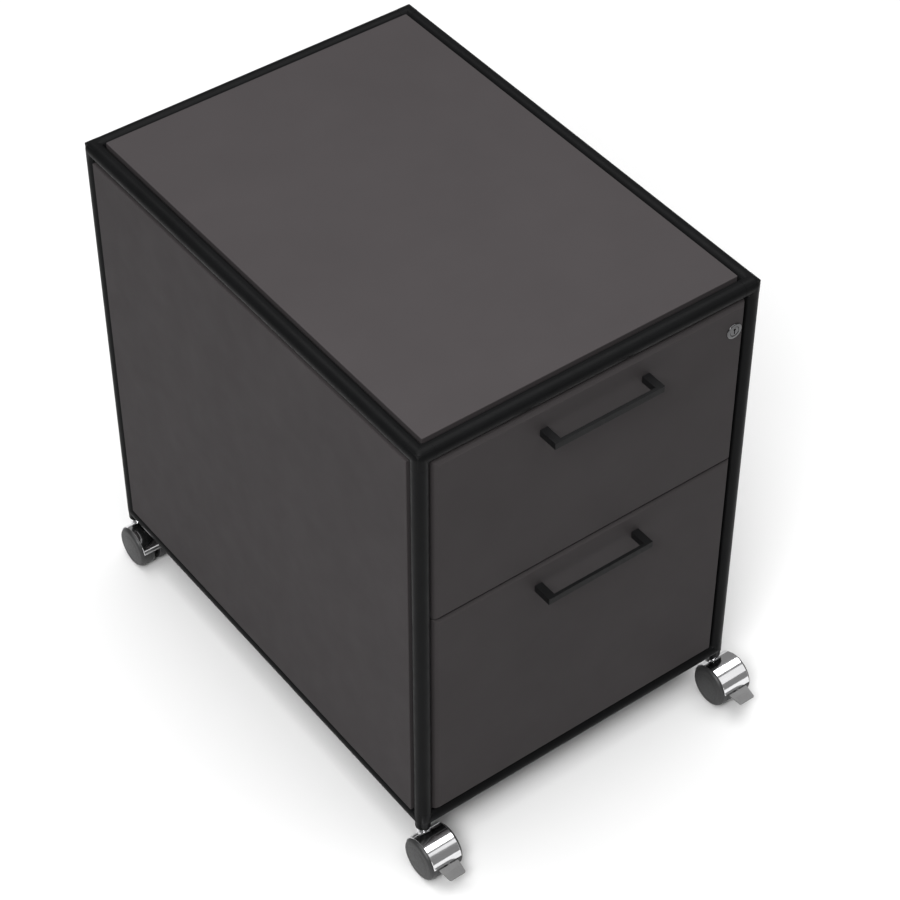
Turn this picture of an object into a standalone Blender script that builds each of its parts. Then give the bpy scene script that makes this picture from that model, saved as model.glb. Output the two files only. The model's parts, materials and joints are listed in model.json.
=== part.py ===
"""Rolling pedestal cabinet: a tube frame with board panels, two drawers, a lock and four castors.

X is across the cabinet, the drawers open towards -Y, and the floor is Z = 0.
The origin is the middle of the object's footprint, on the floor.
"""

import math

import bmesh
import bpy
from mathutils import Matrix, Vector

# Driving dimensions, in metres
WIDTH = 0.430
DEPTH = 0.600
FRAME_HEIGHT = 0.562
TUBE_RADIUS = 0.009
TUBE_WALL = 0.0015
GAP = 0.0003

NODE_RADIUS = 0.0127
NODE_SHOULDER = 0.0065
NODE_STUB = 0.0133
SPIGOT_LENGTH = 0.030
STEM_BOSS_HEIGHT = 0.003
STEM_BOSS_INSET = 0.0004

BOARD = 0.016
PANEL_CLEARANCE = 0.0007
PANEL_EDGE = 0.0008
CORNER_CUT = 0.0148
FRONT_CLEARANCE = 0.0035
FRONT_EDGE = 0.0031
FRONT_THICKNESS = 0.018
FRONT_LAP = 0.0029
FRONT_LAP_DEPTH = 0.009
FRONTS_APART = 0.003
FRONTS_LAP = 0.0012
LOWER_FRONT_HEIGHT = 0.2985

SLIDE_HEIGHT = 0.036
SLIDE_SHEET = 0.0012
SLIDE_WIDTH = 0.0125
SLIDE_LENGTH = 0.530
SLIDE_PLAY = 0.003
SLIDE_BEHIND_FRONT = 0.036
SLIDE_ABOVE_TRAY_BOTTOM = 0.060
TRAY_SHEET = 0.0012
TRAY_LENGTH = 0.530
TRAY_BELOW_FRONT_TOP = 0.045
TRAY_ABOVE_FRONT_BOTTOM = 0.012
CATCH_BELOW_TRAY_TOP = 0.030
CATCH_START = 0.008
CATCH_END = 0.010
CATCH_REACH = 0.0075
CATCH_HEIGHT = 0.014

HANDLE_CENTRES = 0.128
HANDLE_LEG = 0.0095
HANDLE_HEIGHT = 0.0085
HANDLE_REACH = 0.024
HANDLE_BAR = 0.004
HANDLE_BELOW_TOP = 0.0297

LOCK_X = 0.1795
LOCK_RADIUS = 0.0095
LOCK_BODY_RADIUS = 0.0080
LOCK_PLUG_RADIUS = 0.0055
LOCK_BODY_LENGTH = 0.024
LOCK_CAM = 0.013
LOCK_CAM_HALF_WIDTH = 0.003
LOCK_CAM_START = 0.0008
LOCK_CAM_END = 0.0028
LOCK_RING = 0.0015
LOCK_RING_EDGE = 0.0006
LOCK_HOLE_DEPTH = 0.03
LOCK_PLUG_SUNK = 0.0004
LOCK_PLUG_TAIL = 0.003
KEY_SLOT_HALF_WIDTH = 0.0006
KEY_SLOT_HALF_HEIGHT = 0.0035
KEY_SLOT_DEPTH = 0.006
LOCK_BAR_BEHIND_FRONT = 0.0025
LOCK_BAR_BELOW_CATCH = 0.060
LOCK_BAR_BELOW_LOCK = 0.020
LOCK_BAR_WIDTH = 0.010
TOOTH_CLEARANCE = 0.0015
TOOTH_FOOT = 0.0125
TOOTH_HEAD = 0.0015

WHEEL_RADIUS = 0.025
WHEELS_ACROSS = 0.046
WHEELS_APART = 0.007
WHEEL_SHOULDER = 0.004
WHEEL_FLAT_SHARE = 0.55
WHEEL_DOME = 0.0005
WHEEL_EDGE = 0.001
WHEEL_BORE_END = 0.0186
SHOULDER_DEGREES = 70
SHOULDER_STEPS = 3
HOOD_RADIUS = 0.0266
HOOD_SHEET = 0.0012
HOOD_WIDTH = 0.0365
HOOD_ARC = (13, 185)
HOOD_WEB = (-0.0030, -0.0003)
HOOD_WEB_INNER = 0.002
HOOD_WEB_ARC = (62, 180)
HUB_RADIUS = 0.0055
HUB_HALF_LENGTH = 0.0031
EAR_FORWARD = 0.0040
EAR_BELOW = 0.0020
EAR_ABOVE = 0.0060
DRUM_HALF_LENGTH = 0.03
SWIVEL_BOSS_RADIUS = 0.0075
SWIVEL_BOSS_FOOT = 0.008
SWIVEL_BORE_FOOT = 0.0205
SWIVEL_BORE_TOP = 0.030
SWIVEL_GAP = 0.0005
AXLE_RADIUS = 0.003
AXLE_HALF_LENGTH = 0.018
AXLE_DROP = 0.0295
CASTOR_TRAIL = 0.0195
STEM_RADIUS = 0.004
STEM_LENGTH = 0.026
STEM_FOOT = 0.0208
STEM_IN_HOOD = 0.004
PEDAL_WIDTH = 0.025
PEDAL_SHEET = 0.002
PEDAL_REACH = 0.044
PEDAL_DROOP = math.radians(4)
PEDAL_PIVOT_FORWARD = 0.0135
PEDAL_PIVOT_ABOVE = 0.002
PEDAL_PIN_RADIUS = 0.0015
PEDAL_ROOT = 0.0265
PEDAL_ABOVE_AXLE = 0.0030
PEDAL_ARM = (0.0004, 0.0030)
PEDAL_ARM_LAP = 0.002
PEDAL_ARM_LOW = -0.0005
PEDAL_ARM_HIGH = 0.0045
PEDAL_ARM_SHORT = 0.0027
PEDAL_EYE_RADIUS = 0.0040

ROUND_STEPS = 20
NODE_STEPS = 16
SMALL_STEPS = 12
SECTOR_STEP = 7.5

HAIR = 0.0001
OVERLAP = 0.001
CUT_BEYOND = 0.01
MERGE_DISTANCE = 0.0001
FACING = 0.9

# Places that follow from them
CASTOR_HEIGHT = AXLE_DROP + WHEEL_RADIUS
FRONT_REACH = PEDAL_REACH + CASTOR_TRAIL - TUBE_RADIUS
RIGHT = WIDTH / 2
LEFT = -RIGHT
FRONT = (FRONT_REACH - DEPTH) / 2
REAR = FRONT + DEPTH
BASE = CASTOR_HEIGHT
TOP = BASE + FRAME_HEIGHT
AXES_X = (LEFT + TUBE_RADIUS, RIGHT - TUBE_RADIUS)
AXES_Y = (FRONT + TUBE_RADIUS, REAR - TUBE_RADIUS)
AXES_Z = (BASE + TUBE_RADIUS, TOP - TUBE_RADIUS)
SIDES = ("left", "right")
ENDS = ("front", "rear")
LEVELS = ("bottom", "top")

FRONT_LEFT = AXES_X[0] + TUBE_RADIUS + FRONT_CLEARANCE
FRONT_BOTTOM = AXES_Z[0] + TUBE_RADIUS + FRONT_CLEARANCE
FRONT_TOP = AXES_Z[1] - TUBE_RADIUS - FRONT_CLEARANCE
LOWER_FRONT_TOP = FRONT_BOTTOM + LOWER_FRONT_HEIGHT
DRAWERS = {
    "lower": (FRONT_BOTTOM, LOWER_FRONT_TOP),
    "upper": (LOWER_FRONT_TOP + FRONTS_APART, FRONT_TOP),
}
LOCK_Z = FRONT_TOP - HANDLE_BELOW_TOP
SLIDE_START = FRONT + SLIDE_BEHIND_FRONT
TRAY_SIDE = RIGHT - BOARD - SLIDE_WIDTH - 2 * GAP
LOCK_BAR_OUTER = RIGHT - BOARD - 2 * GAP
LOCK_BAR_SHEET = 0.0018


def clear_scene():
    for obj in list(bpy.data.objects):
        bpy.data.objects.remove(obj, do_unlink=True)


def make_collection(name):
    collection = bpy.data.collections.new(name)
    bpy.context.scene.collection.children.link(collection)
    return collection


def make_material(name, color, roughness, metallic):
    material = bpy.data.materials.new(name)
    material.use_nodes = True
    shader = material.node_tree.nodes["Principled BSDF"]
    shader.inputs["Base Color"].default_value = (*color, 1)
    shader.inputs["Roughness"].default_value = roughness
    shader.inputs["Metallic"].default_value = metallic
    return material


def place(name, data, location, collection, material=None, parent=None):
    """A new object at a place in world coordinates, under its parent if it has one."""
    obj = bpy.data.objects.new(name, data)
    collection.objects.link(obj)
    obj.parent = parent
    obj.location = Vector(location) - (parent.matrix_world.translation if parent else Vector())
    if material:
        data.materials.append(material)
    bpy.context.view_layer.update()
    return obj


def make_empty(name, location, parent=None):
    return place(name, None, location, PARTS, parent=parent)


def mesh_of(bm, name, smooth=True):
    mesh = bpy.data.meshes.new(name)
    bmesh.ops.recalc_face_normals(bm, faces=bm.faces)
    bm.to_mesh(mesh)
    bm.free()
    if smooth:
        mesh.shade_smooth()
        mesh.set_sharp_from_angle(angle=math.radians(30))
    return mesh


def box_mesh(name, size):
    bm = bmesh.new()
    bmesh.ops.create_cube(bm, size=1)
    bmesh.ops.scale(bm, vec=size, verts=bm.verts)
    return mesh_of(bm, name, smooth=False)


def add_box(name, low, high, collection, material=None, parent=None):
    low, high = Vector(low), Vector(high)
    return place(name, box_mesh(name, high - low), (low + high) / 2, collection, material, parent)


def cylinder_mesh(name, radius, length, axis, steps=ROUND_STEPS):
    bm = bmesh.new()
    bmesh.ops.create_cone(
        bm, cap_ends=True, segments=steps, radius1=radius, radius2=radius, depth=length
    )
    turn = {"X": Matrix.Rotation(math.pi / 2, 3, "Y"), "Y": Matrix.Rotation(math.pi / 2, 3, "X")}
    if axis in turn:
        bmesh.ops.rotate(bm, cent=(0, 0, 0), matrix=turn[axis], verts=bm.verts)
    return mesh_of(bm, name)


def add_cylinder(name, radius, low, high, axis, collection, material=None, parent=None, steps=ROUND_STEPS):
    """A cylinder between two points that lie on one line along the named axis."""
    low, high = Vector(low), Vector(high)
    mesh = cylinder_mesh(name, radius, (high - low).length, axis, steps)
    return place(name, mesh, (low + high) / 2, collection, material, parent)


def combine(obj, tool, operation):
    """Cuts obj with a tool, or joins or crosses it with one. The tool stays as a hidden helper."""
    tool.hide_render = True
    tool.display_type = "WIRE"
    modifier = obj.modifiers.new(operation.lower() + "_" + tool.name, "BOOLEAN")
    modifier.operation = operation
    modifier.solver = "EXACT"
    modifier.object = tool


def corner_node(name, x_side, y_end, z_level):
    """A die-cast corner: three stubs as thick as the tubes, a ball in the inner angles, and three spigots."""
    centre = Vector((AXES_X[x_side], AXES_Y[y_end], AXES_Z[z_level]))
    inward = Vector((1 - 2 * x_side, 1 - 2 * y_end, 1 - 2 * z_level))
    bm = bmesh.new()
    bmesh.ops.create_uvsphere(bm, u_segments=NODE_STEPS, v_segments=NODE_STEPS // 2, radius=NODE_RADIUS)
    node = place(name, mesh_of(bm, name), centre, PARTS, BLACK)
    low = centre - inward * NODE_SHOULDER
    high = centre + inward * 2 * NODE_RADIUS
    corners = [sorted(pair) for pair in zip(low, high)]
    shoulder = add_box(name + "_shoulders", *zip(*corners), CUTTERS)
    combine(node, shoulder, "INTERSECT")
    bm = bmesh.new()
    bmesh.ops.create_uvsphere(bm, u_segments=NODE_STEPS, v_segments=NODE_STEPS // 2, radius=TUBE_RADIUS)
    combine(node, place(name + "_tip", mesh_of(bm, name), centre, CUTTERS), "UNION")
    for index, axis in enumerate("XYZ"):
        step = Vector([inward[i] if i == index else 0 for i in range(3)])
        stub = add_cylinder(f"{name}_stub_{axis}", TUBE_RADIUS - HAIR, centre - step * HAIR,
                            centre + step * NODE_STUB, axis, CUTTERS, steps=NODE_STEPS)
        combine(node, stub, "UNION")
        spigot = add_cylinder(f"{name}_spigot_{axis}", TUBE_RADIUS - TUBE_WALL - GAP, centre + step * OVERLAP,
                              centre + step * SPIGOT_LENGTH, axis, CUTTERS, steps=NODE_STEPS)
        combine(node, spigot, "UNION")
    if z_level == 0:
        foot = centre - Vector((0, 0, TUBE_RADIUS + STEM_BOSS_HEIGHT))
        boss_top = centre - Vector((0, 0, OVERLAP))
        boss = add_cylinder(name + "_boss", TUBE_RADIUS - STEM_BOSS_INSET, foot, boss_top, "Z", CUTTERS,
                            steps=NODE_STEPS)
        combine(node, boss, "UNION")
        bore = add_cylinder(name + "_bore", STEM_RADIUS + GAP, foot - Vector((0, 0, OVERLAP)),
                            foot + Vector((0, 0, STEM_LENGTH)), "Z", CUTTERS, steps=SMALL_STEPS)
        combine(node, bore, "DIFFERENCE")


def tube(name, low, high, axis):
    """A tube between two corner axes, cut back to the corners' stubs."""
    low, high = Vector(low), Vector(high)
    step = (high - low).normalized()
    end = step * (NODE_STUB + GAP)
    bore_start = low - step * TUBE_RADIUS
    bore_end = high + step * TUBE_RADIUS
    obj = add_cylinder(name, TUBE_RADIUS, low + end, high - end, axis, PARTS, BLACK)
    inner = add_cylinder(name + "_inside", TUBE_RADIUS - TUBE_WALL, bore_start, bore_end, axis, CUTTERS)
    combine(obj, inner, "DIFFERENCE")


def frame():
    for x_side, side in enumerate(SIDES):
        for y_end, end in enumerate(ENDS):
            x, y = AXES_X[x_side], AXES_Y[y_end]
            tube(f"upright_{end}_{side}", (x, y, AXES_Z[0]), (x, y, AXES_Z[1]), "Z")
            for z_level, level in enumerate(LEVELS):
                corner_node(f"corner_{level}_{end}_{side}", x_side, y_end, z_level)
    for z_level, level in enumerate(LEVELS):
        z = AXES_Z[z_level]
        for y_end, end in enumerate(ENDS):
            y = AXES_Y[y_end]
            tube(f"rail_{level}_{end}", (AXES_X[0], y, z), (AXES_X[1], y, z), "X")
        for x_side, side in enumerate(SIDES):
            x = AXES_X[x_side]
            tube(f"rail_{level}_{side}", (x, AXES_Y[0], z), (x, AXES_Y[1], z), "Y")


def board(name, low, high, outward, edge, material, parent=None):
    """A board whose edges on its outward side are rounded."""
    low, high = Vector(low), Vector(high)
    bm = bmesh.new()
    bmesh.ops.create_cube(bm, size=1)
    bmesh.ops.scale(bm, vec=high - low, verts=bm.verts)
    outer = [face for face in bm.faces if face.normal.dot(outward) > FACING]
    bmesh.ops.bevel(bm, geom=outer[0].edges[:], offset=edge, segments=2, profile=0.5,
                    affect="EDGES", material=-1)
    return place(name, mesh_of(bm, name), (low + high) / 2, PARTS, material, parent)


def panel(name, axis, outward_sign):
    """One of the five boards that close the frame, cut round at its corners to clear the corner nodes."""
    index = "XYZ".index(axis)
    bounds = [[LEFT, RIGHT], [FRONT, REAR], [BASE, TOP]]
    inset = 2 * TUBE_RADIUS + PANEL_CLEARANCE
    low = [bound[0] + inset for bound in bounds]
    high = [bound[1] - inset for bound in bounds]
    outward = Vector((0, 0, 0))
    outward[index] = outward_sign
    if outward_sign > 0:
        high[index] = bounds[index][1]
        low[index] = high[index] - BOARD
    else:
        low[index] = bounds[index][0]
        high[index] = low[index] + BOARD
    obj = board(name, low, high, outward, PANEL_EDGE, BOARD_PAINT)
    middle = (low[index] + high[index]) / 2
    others = [i for i in range(3) if i != index]
    axes = (AXES_X, AXES_Y, AXES_Z)
    for first in axes[others[0]]:
        for second in axes[others[1]]:
            start = Vector((0, 0, 0))
            start[others[0]], start[others[1]] = first, second
            end = start.copy()
            start[index], end[index] = middle - BOARD, middle + BOARD
            cutter = add_cylinder(name + "_corner", CORNER_CUT, start, end, axis, CUTTERS)
            combine(obj, cutter, "DIFFERENCE")


def panels():
    panel("top_panel", "Z", 1)
    panel("bottom_panel", "Z", -1)
    panel("left_panel", "X", -1)
    panel("right_panel", "X", 1)
    panel("rear_panel", "Y", 1)


def channel(name, outer_x, inner_x, low_z, high_z, open_towards, material, parent=None):
    """A slide member: a channel along Y, with its web at outer_x and its flanges reaching inner_x."""
    low_x, high_x = sorted((outer_x, inner_x))
    start, end = SLIDE_START, SLIDE_START + SLIDE_LENGTH
    obj = add_box(name, (low_x, start, low_z), (high_x, end, high_z), PARTS, material, parent)
    if open_towards > 0:
        cut_x = (low_x + SLIDE_SHEET, high_x + SLIDE_SHEET)
    else:
        cut_x = (low_x - SLIDE_SHEET, high_x - SLIDE_SHEET)
    cutter = add_box(name + "_inside", (cut_x[0], start - CUT_BEYOND, low_z + SLIDE_SHEET),
                     (cut_x[1], end + CUT_BEYOND, high_z - SLIDE_SHEET), CUTTERS, parent=parent)
    combine(obj, cutter, "DIFFERENCE")
    return obj


def slides(drawer, tray_bottom, parent):
    """The two telescopic slides of a drawer: a channel on the side panel, and one on the drawer inside it."""
    low = tray_bottom + SLIDE_ABOVE_TRAY_BOTTOM
    high = low + SLIDE_HEIGHT
    step = SLIDE_SHEET + GAP
    for side, sign in (("left", -1), ("right", 1)):
        wall = sign * (RIGHT - BOARD - GAP)
        tray = sign * (TRAY_SIDE + GAP)
        reach = sign * (SLIDE_WIDTH - SLIDE_PLAY)
        channel(f"{drawer}_cabinet_slide_{side}", wall, wall - reach, low, high, -sign, ZINC)
        channel(f"{drawer}_drawer_slide_{side}", tray, tray + reach, low + step, high - step, sign, ZINC,
                parent)


def tray(drawer, low_z, high_z, parent):
    """The drawer's sheet steel tray, with the catch that the locking bar holds."""
    start = FRONT + FRONT_THICKNESS + GAP
    low = Vector((-TRAY_SIDE, start, low_z))
    high = Vector((TRAY_SIDE, start + TRAY_LENGTH, high_z))
    obj = add_box(drawer + "_tray", low, high, PARTS, TRAY_PAINT, parent)
    wall = Vector((TRAY_SHEET, TRAY_SHEET, TRAY_SHEET))
    rise = Vector((0, 0, CUT_BEYOND + TRAY_SHEET))
    inside = add_box(drawer + "_tray_inside", low + wall, high - wall + rise, CUTTERS, parent=parent)
    combine(obj, inside, "DIFFERENCE")
    catch_z = high_z - CATCH_BELOW_TRAY_TOP
    catch = add_box(drawer + "_catch", (TRAY_SIDE - TRAY_SHEET / 2, start + CATCH_START, catch_z),
                    (TRAY_SIDE + CATCH_REACH, start + CATCH_END, catch_z + CATCH_HEIGHT), CUTTERS,
                    parent=parent)
    combine(obj, catch, "UNION")
    return catch_z


def handle(drawer, centre_z, parent):
    """A flat bow handle: a bar on two square legs, as one bent outline pushed out to its height."""
    half = (HANDLE_CENTRES + HANDLE_LEG) / 2
    inner = half - HANDLE_LEG
    reach, bar = -HANDLE_REACH, -HANDLE_REACH + HANDLE_BAR
    outline = [(-half, 0), (-half, reach), (half, reach), (half, 0),
               (inner, 0), (inner, bar), (-inner, bar), (-inner, 0)]
    curve = bpy.data.curves.new(drawer + "_handle", "CURVE")
    curve.dimensions = "2D"
    curve.fill_mode = "BOTH"
    curve.extrude = HANDLE_HEIGHT / 2
    spline = curve.splines.new("POLY")
    spline.points.add(len(outline) - 1)
    for point, (x, y) in zip(spline.points, outline):
        point.co = (x, y, 0, 1)
    spline.use_cyclic_u = True
    place(drawer + "_handle", curve, (0, FRONT - GAP, centre_z), PARTS, HANDLE_BLACK, parent)


def drawer_front(drawer, low_z, high_z, parent):
    """A front board. Behind its bevelled edge it spreads out to the tubes and to the other front."""
    name = drawer + "_front"
    down = FRONT_LAP if drawer == "lower" else FRONTS_LAP
    up = FRONT_LAP if drawer == "upper" else FRONTS_LAP
    half_z = (high_z - low_z) / 2
    levels = [(0, -FRONT_EDGE, -FRONT_EDGE, -FRONT_EDGE), (FRONT_EDGE, 0, 0, 0),
              (FRONT_LAP_DEPTH, FRONT_LAP, down, up), (FRONT_THICKNESS, FRONT_LAP, down, up)]
    bm = bmesh.new()
    rings = []
    for depth, aside, below, above in levels:
        x, low, high = -FRONT_LEFT + aside, -half_z - below, half_z + above
        corners = [(-x, depth, low), (x, depth, low), (x, depth, high), (-x, depth, high)]
        rings.append([bm.verts.new(corner) for corner in corners])
    bm.faces.new(rings[0])
    bm.faces.new(rings[-1])
    for near, far in zip(rings, rings[1:]):
        for i in range(4):
            bm.faces.new((near[i], near[i - 1], far[i - 1], far[i]))
    return place(name, mesh_of(bm, name), (0, FRONT, low_z + half_z), PARTS, FRONT_PAINT, parent)


def drawers():
    """Both drawers. Each hangs under an empty on its slides' line, and the upper one carries the lock."""
    catches = []
    for drawer, (low_z, high_z) in DRAWERS.items():
        parent = make_empty(drawer + "_drawer_travel", (0, FRONT, (low_z + high_z) / 2))
        front = drawer_front(drawer, low_z, high_z, parent)
        tray_bottom = low_z + TRAY_ABOVE_FRONT_BOTTOM
        catches.append(tray(drawer, tray_bottom, high_z - TRAY_BELOW_FRONT_TOP, parent))
        slides(drawer, tray_bottom, parent)
        handle(drawer, high_z - HANDLE_BELOW_TOP, parent)
        if drawer == "upper":
            lock(front, parent)
    lock_bar(catches)


def turned(name, profile, axis, location, collection, material=None, parent=None, steps=ROUND_STEPS):
    """A turned piece: a profile of (radius, height) points, run down its outer side, swept about its axis."""
    mesh = bpy.data.meshes.new(name)
    points = [(radius, 0, height) for radius, height in profile]
    mesh.from_pydata(points, [(i, i + 1) for i in range(len(points) - 1)], [])
    obj = place(name, mesh, location, collection, material, parent)
    obj.rotation_euler = {"X": (0, math.pi / 2, 0), "-X": (0, -math.pi / 2, 0), "-Y": (math.pi / 2, 0, 0),
                          "Z": (0, 0, 0)}[axis]
    screw = obj.modifiers.new("turn", "SCREW")
    screw.axis = "Z"
    screw.steps = screw.render_steps = steps
    screw.use_merge_vertices = True
    screw.merge_threshold = MERGE_DISTANCE
    screw.use_smooth_shade = True
    return obj


def lock(front, parent):
    """The cylinder lock in the upper front: a ring and barrel, and the plug with its key slot and cam."""
    centre = Vector((LOCK_X, FRONT, LOCK_Z))
    inside = -LOCK_BODY_LENGTH
    bore = LOCK_PLUG_RADIUS + GAP
    ring = LOCK_RING
    housing = [(bore, ring), (LOCK_RADIUS - LOCK_RING_EDGE, ring), (LOCK_RADIUS, ring - LOCK_RING_EDGE),
               (LOCK_RADIUS, GAP), (LOCK_BODY_RADIUS, GAP), (LOCK_BODY_RADIUS, inside), (bore, inside),
               (bore, ring)]
    turned("lock_housing", housing, "-Y", centre, PARTS, CHROME, parent)
    hole = add_cylinder("lock_hole", LOCK_BODY_RADIUS + GAP, centre - Vector((0, CUT_BEYOND, 0)),
                        centre + Vector((0, LOCK_HOLE_DEPTH, 0)), "Y", CUTTERS, parent=parent)
    combine(front, hole, "DIFFERENCE")
    plug = add_cylinder("lock_plug", LOCK_PLUG_RADIUS, centre - Vector((0, ring - LOCK_PLUG_SUNK, 0)),
                        centre + Vector((0, LOCK_BODY_LENGTH + LOCK_PLUG_TAIL, 0)), "Y", PARTS, CHROME,
                        parent, SMALL_STEPS)
    plug_face = centre.y - ring
    slot_half = Vector((KEY_SLOT_HALF_WIDTH, 0, KEY_SLOT_HALF_HEIGHT))
    slot_face = Vector((LOCK_X, plug_face, LOCK_Z))
    slot = add_box("key_slot", slot_face - slot_half - Vector((0, OVERLAP, 0)),
                   slot_face + slot_half + Vector((0, KEY_SLOT_DEPTH, 0)), CUTTERS, parent=parent)
    combine(plug, slot, "DIFFERENCE")
    tail = centre.y + LOCK_BODY_LENGTH
    cam = add_box("lock_cam", (LOCK_X - LOCK_CAM_HALF_WIDTH, tail + LOCK_CAM_START, LOCK_Z - LOCK_CAM),
                  (LOCK_X + LOCK_CAM_HALF_WIDTH, tail + LOCK_CAM_END, LOCK_Z - OVERLAP), CUTTERS,
                  parent=parent)
    combine(plug, cam, "UNION")


def lock_bar(catches):
    """The upright bar beside the drawers. Lifted, its two teeth stand in front of the trays' catches."""
    start = FRONT + FRONT_THICKNESS + LOCK_BAR_BEHIND_FRONT
    low_x, high_x = LOCK_BAR_OUTER - LOCK_BAR_SHEET, LOCK_BAR_OUTER
    bar = add_box("lock_bar", (low_x, start, min(catches) - LOCK_BAR_BELOW_CATCH),
                  (high_x, start + LOCK_BAR_WIDTH, LOCK_Z - LOCK_BAR_BELOW_LOCK), PARTS, ZINC)
    for catch_z in catches:
        tooth = add_box("lock_tooth", (TRAY_SIDE + TOOTH_CLEARANCE, start, catch_z - TOOTH_FOOT),
                        (high_x - LOCK_BAR_SHEET / 2, start + LOCK_BAR_SHEET, catch_z - TOOTH_HEAD),
                        CUTTERS)
        combine(bar, tooth, "UNION")


def hood(name, axle, parent):
    """The castor's body: a hood over the wheels, a web between them, the axle and the swivel boss."""
    stem = axle + Vector((0, CASTOR_TRAIL, 0))
    boss_top = axle.z + AXLE_DROP - STEM_BOSS_HEIGHT - SWIVEL_GAP
    web_x = HOOD_WEB
    obj = place(name, sector_mesh(name, HOOD_RADIUS - HOOD_SHEET, HOOD_RADIUS, *HOOD_ARC, HOOD_WIDTH),
                axle, PARTS, CHROME, parent)
    boss = add_cylinder(name + "_boss", SWIVEL_BOSS_RADIUS, stem + Vector((0, 0, SWIVEL_BOSS_FOOT)),
                        Vector((stem.x, stem.y, boss_top)), "Z", CUTTERS, parent=parent, steps=SMALL_STEPS)
    drum = add_cylinder(name + "_drum", HOOD_RADIUS - HOOD_SHEET / 2, axle - Vector((DRUM_HALF_LENGTH, 0, 0)),
                        axle + Vector((DRUM_HALF_LENGTH, 0, 0)), "X", CUTTERS, parent=parent,
                        steps=2 * ROUND_STEPS)
    combine(boss, drum, "DIFFERENCE")
    combine(obj, boss, "UNION")
    bore = add_cylinder(name + "_bore", STEM_RADIUS + GAP, stem + Vector((0, 0, SWIVEL_BORE_FOOT)),
                        stem + Vector((0, 0, SWIVEL_BORE_TOP)), "Z", CUTTERS, parent=parent,
                        steps=SMALL_STEPS)
    combine(obj, bore, "DIFFERENCE")
    web_mesh = sector_mesh(name + "_web", HOOD_WEB_INNER, HOOD_RADIUS - HOOD_SHEET / 2, *HOOD_WEB_ARC,
                           web_x[1] - web_x[0])
    web = place(name + "_web", web_mesh, axle + Vector((sum(web_x) / 2, 0, 0)), CUTTERS, parent=parent)
    combine(obj, web, "UNION")
    hub_half = Vector((HUB_HALF_LENGTH, 0, 0))
    hub = add_cylinder(name + "_hub", HUB_RADIUS, axle - hub_half, axle + hub_half, "X", CUTTERS,
                       parent=parent, steps=SMALL_STEPS)
    combine(obj, hub, "UNION")
    ear = add_box(name + "_ear", axle + Vector((web_x[0], -PEDAL_PIVOT_FORWARD - EAR_FORWARD, -EAR_BELOW)),
                  axle + Vector((web_x[1], 0, EAR_ABOVE)), CUTTERS, parent=parent)
    combine(obj, ear, "UNION")
    pivot = axle + Vector((0, -PEDAL_PIVOT_FORWARD, PEDAL_PIVOT_ABOVE))
    pivot_pin = add_cylinder(name + "_pivot", PEDAL_PIN_RADIUS, pivot - Vector((OVERLAP, 0, 0)),
                             pivot + hub_half, "X", CUTTERS, parent=parent, steps=SMALL_STEPS)
    combine(obj, pivot_pin, "UNION")
    axle_half = Vector((AXLE_HALF_LENGTH, 0, 0))
    pin = add_cylinder(name + "_axle", AXLE_RADIUS, axle - axle_half, axle + axle_half, "X", CUTTERS,
                       parent=parent, steps=SMALL_STEPS)
    combine(obj, pin, "UNION")


def sector_mesh(name, inner, outer, first_degrees, last_degrees, width):
    """Part of a ring about the X axis, from one angle above the forward direction to another."""
    bm = bmesh.new()
    half = width / 2
    corners = [(-half, -inner, 0), (half, -inner, 0), (half, -outer, 0), (-half, -outer, 0)]
    verts = [bm.verts.new(corner) for corner in corners]
    face = bm.faces.new(verts)
    start = Matrix.Rotation(-math.radians(first_degrees), 3, "X")
    bmesh.ops.rotate(bm, cent=(0, 0, 0), matrix=start, verts=bm.verts)
    turn = math.radians(last_degrees - first_degrees)
    steps = round((last_degrees - first_degrees) / SECTOR_STEP)
    bmesh.ops.spin(bm, geom=[face, *face.edges, *face.verts], cent=(0, 0, 0), axis=(1, 0, 0),
                   angle=-turn, steps=steps)
    return mesh_of(bm, name)


def wheel_profile():
    """Down the outer side: the domed face, shoulder, tread, inner face and the axle's bore."""
    inner, outer = WHEELS_APART / 2, WHEELS_ACROSS / 2
    radius, bore, bore_end = WHEEL_RADIUS, AXLE_RADIUS + GAP, WHEEL_BORE_END
    shoulder = WHEEL_SHOULDER
    points = [(0, outer), (WHEEL_FLAT_SHARE * radius, outer - WHEEL_DOME)]
    for step in range(SHOULDER_STEPS + 1):
        angle = math.radians(SHOULDER_DEGREES - step * SHOULDER_DEGREES / SHOULDER_STEPS)
        points.append((radius - shoulder + shoulder * math.cos(angle),
                       outer - WHEEL_EDGE - shoulder + shoulder * math.sin(angle)))
    points += [(radius, inner + WHEEL_EDGE), (radius - WHEEL_EDGE, inner)]
    points += [(bore, inner), (bore, bore_end), (0, bore_end)]
    return points


def castor(name, x, y, with_pedal):
    """One castor: its stem is fast in the corner node, and everything else swivels about it."""
    stem = Vector((x, y, CASTOR_HEIGHT - AXLE_DROP))
    axle = stem - Vector((0, CASTOR_TRAIL, 0))
    foot = stem + Vector((0, 0, STEM_FOOT))
    top = foot + Vector((0, 0, STEM_LENGTH + STEM_IN_HOOD))
    add_cylinder(name + "_stem", STEM_RADIUS, foot, top, "Z", PARTS, ZINC, steps=SMALL_STEPS)
    swivel = make_empty(name + "_swivel", stem)
    hood(name + "_hood", axle, swivel)
    for side, sign in (("left", -1), ("right", 1)):
        spin = make_empty(f"{name}_{side}_spin", axle, swivel)
        axis = "X" if sign > 0 else "-X"
        turned(f"{name}_wheel_{side}", wheel_profile(), axis, axle, PARTS, WHEEL_BLACK, spin)
    if with_pedal:
        pedal(name + "_pedal", axle, swivel)


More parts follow.
